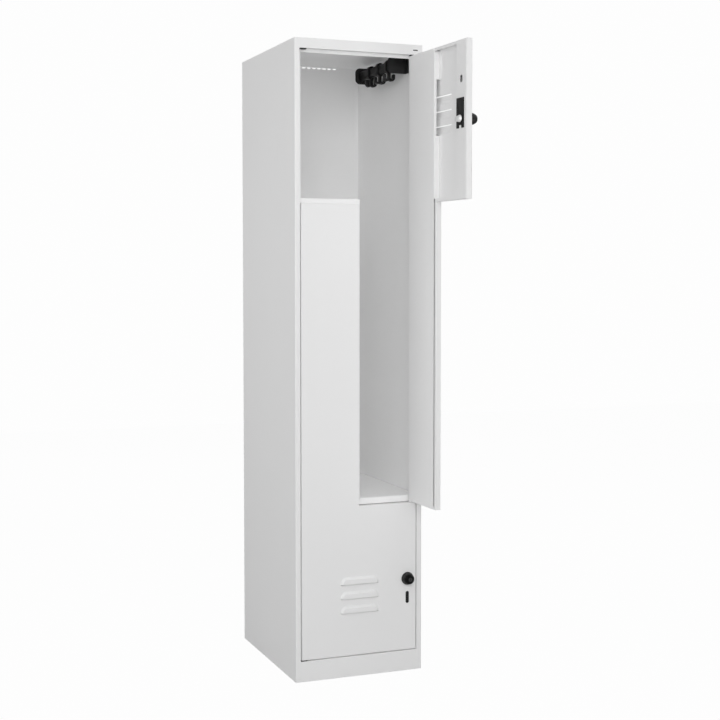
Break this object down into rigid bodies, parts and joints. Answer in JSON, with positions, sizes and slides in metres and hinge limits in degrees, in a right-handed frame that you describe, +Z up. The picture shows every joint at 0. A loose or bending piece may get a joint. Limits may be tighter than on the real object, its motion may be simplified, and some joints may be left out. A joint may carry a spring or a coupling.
{
  "type": "two-person locker",
  "caption": "Tall white sheet-steel locker with interlocking L-shaped hinged doors, louvres, turn-knob key locks, shelves and coat rails with sliding hooks.",
  "frame": {"origin": "on the floor, under the middle of the carcass's footprint", "axes": "+X to the right seen from the front, +Y from the front to the back, +Z up"},
  "size_m": [0.4031, 0.8331, 1.8],
  "materials": {
    "shell_paint": "fine-textured white powder coat",
    "black_nylon": "moulded, matte",
    "glide_plastic": "moulded, matte",
    "hook_plastic": "moulded, slight sheen",
    "black_rail": "black powder coat",
    "lock_case_black": "moulded, matte",
    "knob_black": "moulded, half gloss",
    "plug_metal": "turned",
    "zinc": "zinc plate",
    "screw_zinc": "painted with the frame"
  },
  "bodies": {
    "carcass": {"back_panel": "shell_paint", "floor_glides": "glide_plastic", "floor_panel": "shell_paint", "frame_header": "shell_paint", "frame_left_stile": "shell_paint", "frame_plinth": "shell_paint", "frame_right_stile": "shell_paint", "header_left_bush": "black_nylon", "header_right_bush": "black_nylon", "header_screw": "screw_zinc", "left_side_panel": "shell_paint", "lower_coat_rail": "black_rail", "lower_rail_front_bracket": "black_rail", "lower_rail_rear_bracket": "black_rail", "partition_front_frame": "shell_paint", "plinth_left_bush": "black_nylon", "rear_base_rail": "shell_paint", "right_side_panel": "shell_paint", "top_panel": "shell_paint", "upper_coat_rail": "black_rail", "upper_rail_front_bracket": "black_rail", "upper_rail_rear_bracket": "black_rail", "z_partition": "shell_paint", "upper_door_lug": "shell_paint", "lower_door_lug": "shell_paint"},
    "upper_door": {"upper_door_panel": "shell_paint", "upper_door_strip": "shell_paint", "upper_door_strip_liner": "shell_paint", "upper_door_lock_channel": "shell_paint", "upper_door_long_pin": "zinc", "upper_door_short_pin": "zinc", "upper_lock_case": "lock_case_black", "upper_lock_collar": "knob_black"},
    "upper_latch": {"upper_lock_knob": "knob_black", "upper_lock_cam": "zinc", "upper_cam_screw": "zinc"},
    "upper_key_plug": {"upper_lock_plug": "plug_metal"},
    "upper_coat_hook_front": {"upper_coat_hook_front": "hook_plastic"},
    "upper_coat_hook_middle": {"upper_coat_hook_middle": "hook_plastic"},
    "upper_coat_hook_rear": {"upper_coat_hook_rear": "hook_plastic"},
    "lower_door": {"lower_door_panel": "shell_paint", "lower_door_strip": "shell_paint", "lower_door_strip_liner": "shell_paint", "lower_door_lock_channel": "shell_paint", "lower_door_long_pin": "zinc", "lower_door_short_pin": "zinc", "lower_lock_case": "lock_case_black", "lower_lock_collar": "knob_black"},
    "lower_latch": {"lower_lock_knob": "knob_black", "lower_lock_cam": "zinc", "lower_cam_screw": "zinc"},
    "lower_key_plug": {"lower_lock_plug": "plug_metal"},
    "lower_coat_hook_front": {"lower_coat_hook_front": "hook_plastic"},
    "lower_coat_hook_middle": {"lower_coat_hook_middle": "hook_plastic"},
    "lower_coat_hook_rear": {"lower_coat_hook_rear": "hook_plastic"}
  },
  "joints": [
    {"name": "upper_door_hinge", "type": "hinge", "parent": "carcass", "child": "upper_door", "pos_m": [0.1665, -0.242, 1], "axis": [0, 0, 1], "range_deg": [-92, 13]},
    {"name": "upper_latch_turn", "type": "hinge", "parent": "upper_door", "child": "upper_latch", "pos_m": [0.18547, -0.55603, 1.561], "axis": [0.9994, 0.0349, 0], "range_deg": [0, 180]},
    {"name": "upper_key_turn", "type": "hinge", "parent": "upper_latch", "child": "upper_key_plug", "pos_m": [0.18547, -0.55603, 1.561], "axis": [0.9994, 0.0349, 0], "range_deg": [0, 90]},
    {"name": "upper_coat_hook_front_slide", "type": "slide", "parent": "carcass", "child": "upper_coat_hook_front", "axis": [0, 1, 0], "range_m": [-0.032, 0.027]},
    {"name": "upper_coat_hook_middle_slide", "type": "slide", "parent": "carcass", "child": "upper_coat_hook_middle", "axis": [0, 1, 0], "range_m": [-0.027, 0.027]},
    {"name": "upper_coat_hook_rear_slide", "type": "slide", "parent": "carcass", "child": "upper_coat_hook_rear", "axis": [0, 1, 0], "range_m": [-0.027, 0.067]},
    {"name": "lower_door_hinge", "type": "hinge", "parent": "carcass", "child": "lower_door", "pos_m": [-0.1665, -0.242, 0.5], "axis": [0, 0, -1], "range_deg": [0, 105]},
    {"name": "lower_latch_turn", "type": "hinge", "parent": "lower_door", "child": "lower_latch", "pos_m": [0.148, -0.25, 0.271], "axis": [0, -1, 0], "range_deg": [0, 180]},
    {"name": "lower_key_turn", "type": "hinge", "parent": "lower_latch", "child": "lower_key_plug", "pos_m": [0.148, -0.25, 0.271], "axis": [0, -1, 0], "range_deg": [0, 90]},
    {"name": "lower_coat_hook_front_slide", "type": "slide", "parent": "carcass", "child": "lower_coat_hook_front", "axis": [0, 1, 0], "range_m": [-0.032, 0.027]},
    {"name": "lower_coat_hook_middle_slide", "type": "slide", "parent": "carcass", "child": "lower_coat_hook_middle", "axis": [0, 1, 0], "range_m": [-0.027, 0.027]},
    {"name": "lower_coat_hook_rear_slide", "type": "slide", "parent": "carcass", "child": "lower_coat_hook_rear", "axis": [0, 1, 0], "range_m": [-0.027, 0.067]}
  ]
}
